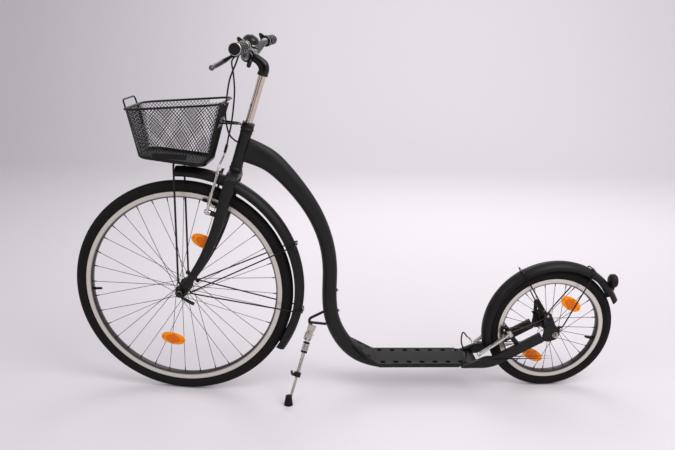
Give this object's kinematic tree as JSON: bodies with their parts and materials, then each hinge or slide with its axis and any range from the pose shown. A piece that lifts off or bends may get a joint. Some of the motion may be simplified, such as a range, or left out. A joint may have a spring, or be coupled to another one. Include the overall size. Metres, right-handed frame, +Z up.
{
  "type": "kick bike",
  "caption": "Foot-pushed scooter with a large front wheel, a small rear wheel, a low footboard, fenders, rim brakes, a front basket and a side stand.",
  "frame": {"origin": "middle of the whole's outline seen from above, on the ground that the tyres and the stand's foot rest on", "axes": "-X the way it rides, +Y the rider's right, +Z up; it is stored as parked, leaning 4.5 degrees on its stand with the front wheel turned 9.6 degrees"},
  "size_m": [1.7748, 0.6146, 1.1363],
  "materials": {
    "frame_paint": "satin black paint",
    "gloss_black": "gloss black paint; the quill is chromed",
    "black_plastic": "black moulded plastic",
    "grip_rubber": "black rubber",
    "tyre_rubber": "black tyre rubber",
    "tube_rubber": "black rubber, brass valve",
    "cable_black": "black cable casing",
    "rim_alloy": "silver anodised",
    "brake_alloy": "satin silver",
    "dark_alloy": "satin grey",
    "bright_steel": "zinc plated",
    "amber": "clear amber reflector",
    "red_lens": "clear dark red lens"
  },
  "bodies": {
    "frame": {"main_tube": "frame_paint", "head_tube": "frame_paint", "footboard": "frame_paint", "rear_stay_left": "frame_paint", "rear_stay_right": "frame_paint", "rear_axle": "bright_steel", "rear_fender": "black_plastic", "rear_fender_stay_front": "bright_steel", "rear_fender_stay_back": "bright_steel", "rear_light": "black_plastic", "rear_lens": "red_lens", "stand_bracket": "frame_paint", "rear_brake_wire": "cable_black", "rear_cable_frame": "cable_black"},
    "steering": {"fork": "frame_paint", "lock_nut": "bright_steel", "stem": "gloss_black", "handlebar": "dark_alloy", "grip_left": "grip_rubber", "grip_right": "grip_rubber", "lever_bracket_left": "black_plastic", "lever_bracket_right": "black_plastic", "bell": "gloss_black", "basket": "black_plastic", "basket_stay": "frame_paint", "basket_bracket": "frame_paint", "front_fender": "black_plastic", "front_fender_stays": "bright_steel", "front_axle": "bright_steel", "front_brake_wire": "cable_black", "front_cable": "cable_black", "rear_cable_bar": "cable_black"},
    "front_wheel": {"front_hub": "bright_steel", "front_rim": "rim_alloy", "front_tyre": "tyre_rubber", "front_inner_tube": "tube_rubber", "front_reflector_1": "amber", "front_reflector_2": "amber"},
    "rear_wheel": {"rear_hub": "bright_steel", "rear_rim": "rim_alloy", "rear_tyre": "tyre_rubber", "rear_inner_tube": "tube_rubber", "rear_reflector_1": "amber", "rear_reflector_2": "amber"},
    "lever_left": {"brake_lever_left": "dark_alloy"},
    "lever_right": {"brake_lever_right": "dark_alloy"},
    "front_arm_left": {"front_brake_arm_left": "brake_alloy", "front_brake_pad_left": "grip_rubber"},
    "front_arm_right": {"front_brake_arm_right": "brake_alloy", "front_brake_pad_right": "grip_rubber"},
    "rear_arm_left": {"rear_brake_arm_left": "brake_alloy", "rear_brake_pad_left": "grip_rubber"},
    "rear_arm_right": {"rear_brake_arm_right": "brake_alloy", "rear_brake_pad_right": "grip_rubber"},
    "bell_thumb": {"bell_thumb": "black_plastic"},
    "quick_release": {"quick_release_lever": "brake_alloy"},
    "stand": {"stand_leg": "bright_steel", "stand_spring": "bright_steel"},
    "stand_tube": {"stand_rod": "bright_steel", "stand_foot": "grip_rubber"}
  },
  "joints": [
    {"name": "steering_turn", "type": "hinge", "parent": "frame", "child": "steering", "pos_m": [-0.3621, 0.01599, 0.81488], "axis": [0.2592, -0.0758, 0.9629], "range_deg": [-40.4, 59.6], "deforming": ["rear_cable_bar"]},
    {"name": "front_wheel_spin", "type": "hinge", "parent": "steering", "child": "front_wheel", "pos_m": [-0.54311, 0.06178, 0.34792], "axis": [0.1611, 0.9863, 0.0343], "continuous": true},
    {"name": "rear_wheel_spin", "type": "hinge", "parent": "frame", "child": "rear_wheel", "pos_m": [0.66911, 0.06329, 0.21388], "axis": [0, 0.9969, 0.0785], "continuous": true},
    {"name": "lever_left_pull", "type": "hinge", "parent": "steering", "child": "lever_left", "pos_m": [-0.38598, -0.16771, 1.07859], "axis": [-0.6181, 0.0737, 0.7826], "range_deg": [0, 20], "stiffness_Nm_per_rad": 0.8, "springref_deg": -17.19},
    {"name": "lever_right_pull", "type": "hinge", "parent": "steering", "child": "lever_right", "pos_m": [-0.32928, 0.17949, 1.09065], "axis": [0.6181, -0.0737, -0.7826], "range_deg": [0, 20], "stiffness_Nm_per_rad": 0.8, "springref_deg": -17.19},
    {"name": "front_arm_left_close", "type": "hinge", "parent": "steering", "child": "front_arm_left", "pos_m": [-0.42692, -0.00846, 0.59777], "axis": [-0.9523, 0.1462, 0.2678], "range_deg": [0, 2.6], "deforming": ["front_cable", "front_brake_wire"]},
    {"name": "front_arm_right_close", "type": "hinge", "parent": "steering", "child": "front_arm_right", "pos_m": [-0.41339, 0.07439, 0.60064], "axis": [0.9523, -0.1462, -0.2678], "range_deg": [0, 2.6], "deforming": ["front_brake_wire"]},
    {"name": "rear_arm_left_close", "type": "hinge", "parent": "frame", "child": "rear_arm_left", "pos_m": [0.5455, 0.02429, 0.17414], "axis": [0.6398, 0.0603, -0.7662], "range_deg": [0, 2.2], "deforming": ["rear_brake_wire"]},
    {"name": "rear_arm_right_close", "type": "hinge", "parent": "frame", "child": "rear_arm_right", "pos_m": [0.5455, 0.10803, 0.18073], "axis": [-0.6398, -0.0603, 0.7662], "range_deg": [0, 2.2], "deforming": ["rear_cable_frame", "rear_brake_wire"]},
    {"name": "bell_thumb_push", "type": "hinge", "parent": "steering", "child": "bell_thumb", "pos_m": [-0.34463, -0.04443, 1.10038], "axis": [0.2592, -0.0758, 0.9629], "range_deg": [0, 20], "stiffness_Nm_per_rad": 0.05, "springref_deg": -11.46},
    {"name": "quick_release_turn", "type": "hinge", "parent": "steering", "child": "quick_release", "pos_m": [-0.55421, -0.00618, 0.34556], "axis": [-0.4515, 0.1045, -0.8861], "range_deg": [0, 170]},
    {"name": "stand_fold", "type": "hinge", "parent": "frame", "child": "stand", "pos_m": [-0.14489, 0.01553, 0.20891], "axis": [0.1717, -0.9848, 0.0268], "range_deg": [0, 95]},
    {"name": "stand_length", "type": "slide", "parent": "stand", "child": "stand_tube", "axis": [-0.2754, -0.3432, -0.898], "range_m": [-0.038, 0.024]}
  ],
  "couplings": [
    {"joint": "front_arm_left_close", "follows": "lever_right_pull", "ratio": 0.1295},
    {"joint": "front_arm_right_close", "follows": "lever_right_pull", "ratio": 0.1295},
    {"joint": "rear_arm_left_close", "follows": "lever_left_pull", "ratio": 0.1095},
    {"joint": "rear_arm_right_close", "follows": "lever_left_pull", "ratio": 0.1095}
  ]
}
